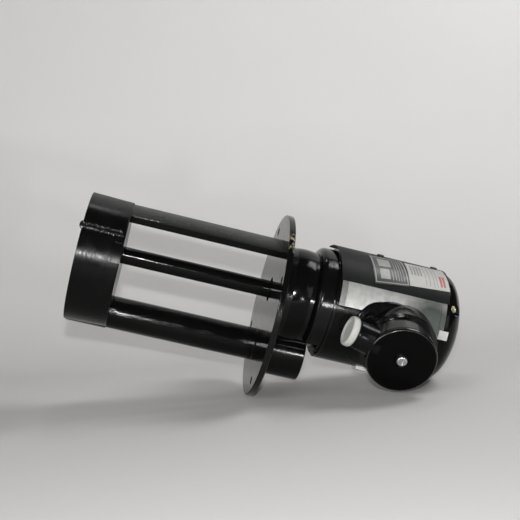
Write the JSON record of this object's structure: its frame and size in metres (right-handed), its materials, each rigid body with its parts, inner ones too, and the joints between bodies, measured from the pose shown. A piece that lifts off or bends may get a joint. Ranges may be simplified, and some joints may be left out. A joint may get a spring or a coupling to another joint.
{
  "type": "immersion coolant pump",
  "caption": "Vertical immersion coolant pump: round mounting flange, suction casing hung below it on a riser pipe and a leg, and an enclosed motor with a terminal box above.",
  "frame": {"origin": "centre of the mounting flange on its tank side", "axes": "+Z along the pump towards the motor, -Y towards the terminal box, +X towards the discharge port"},
  "size_m": [0.15, 0.15, 0.3112],
  "materials": {
    "gloss_black": "gloss black enamel",
    "motor_black": "gloss black enamel",
    "galvanised": "galvanised sheet with dull spangle",
    "zinc_screw": "bright zinc plate",
    "yellow_zinc": "yellow zinc plate",
    "brass": "cast brass",
    "bearing_steel": "ground steel",
    "black_steel": "black paint over steel",
    "bronze": "bronze",
    "rubber": "matt",
    "core_steel": "stacked sheets",
    "cast_aluminium": "as cast",
    "enamelled_copper": "enamelled copper wire",
    "sheet_grey": "satin dark grey paint",
    "plate_black": "black printed aluminium",
    "label_white": "white film",
    "block_plastic": "moulded phenolic",
    "wire_sleeve": "insulated wire",
    "gland_black": "moulded nylon",
    "plug_white": "white polyethylene"
  },
  "bodies": {
    "pump_frame": {"suction_casing": "gloss_black", "suction_cover": "gloss_black", "suction_cover_screws": "zinc_screw", "throttle_bush": "bronze", "riser_pipe": "motor_black", "support_leg": "motor_black", "shaft_seal": "rubber", "lower_bearing_outer_race": "bearing_steel", "upper_bearing_outer_race": "bearing_steel", "bearing_retainer": "zinc_screw", "bearing_retainer_screws": "zinc_screw", "flange_casting": "motor_black", "stator_core": "core_steel", "stator_windings": "enamelled_copper", "motor_shell": "motor_black", "end_bell": "motor_black", "wave_washer": "bearing_steel", "tie_bolts": "yellow_zinc", "tie_bolt_nuts": "yellow_zinc", "side_plate": "galvanised", "side_plate_clip": "zinc_screw", "lower_tab": "zinc_screw", "top_sheet": "sheet_grey", "top_sheet_screws": "zinc_screw", "nameplate": "plate_black", "blank_label": "label_white", "terminal_box_base": "motor_black", "terminal_box_screws": "zinc_screw", "terminal_box_gasket": "rubber", "terminal_box_cover": "motor_black", "terminal_cover_screw": "zinc_screw", "terminal_block": "block_plastic", "terminal_screws": "brass", "earth_screw": "zinc_screw", "lead_wires": "wire_sleeve", "gland_body": "gland_black", "gland_seal": "rubber", "gland_plug": "plug_white"},
    "rotor": {"pump_shaft": "black_steel", "impeller": "brass", "impeller_key": "bearing_steel", "impeller_washer": "zinc_screw", "impeller_nut": "zinc_screw", "splash_ring": "rubber", "bearing_circlip": "bearing_steel", "lower_bearing_inner_race": "bearing_steel", "upper_bearing_inner_race": "bearing_steel", "rotor_core": "core_steel", "rotor_end_rings": "cast_aluminium"},
    "lower_ball_set": {"lower_bearing_cage": "bearing_steel", "lower_bearing_balls": "bearing_steel"},
    "upper_ball_set": {"upper_bearing_cage": "bearing_steel", "upper_bearing_balls": "bearing_steel"}
  },
  "joints": [
    {"name": "rotor_spin", "type": "hinge", "parent": "pump_frame", "child": "rotor", "pos_m": [-0.014, 0, 0], "axis": [0, 0, 1], "continuous": true},
    {"name": "lower_ball_set_spin", "type": "hinge", "parent": "pump_frame", "child": "lower_ball_set", "pos_m": [-0.014, 0, 0.0395], "axis": [0, 0, 1], "continuous": true},
    {"name": "upper_ball_set_spin", "type": "hinge", "parent": "pump_frame", "child": "upper_ball_set", "pos_m": [-0.014, 0, 0.148], "axis": [0, 0, 1], "continuous": true}
  ],
  "couplings": [
    {"joint": "lower_ball_set_spin", "follows": "rotor_spin", "ratio": 0.38},
    {"joint": "upper_ball_set_spin", "follows": "rotor_spin", "ratio": 0.3659}
  ]
}
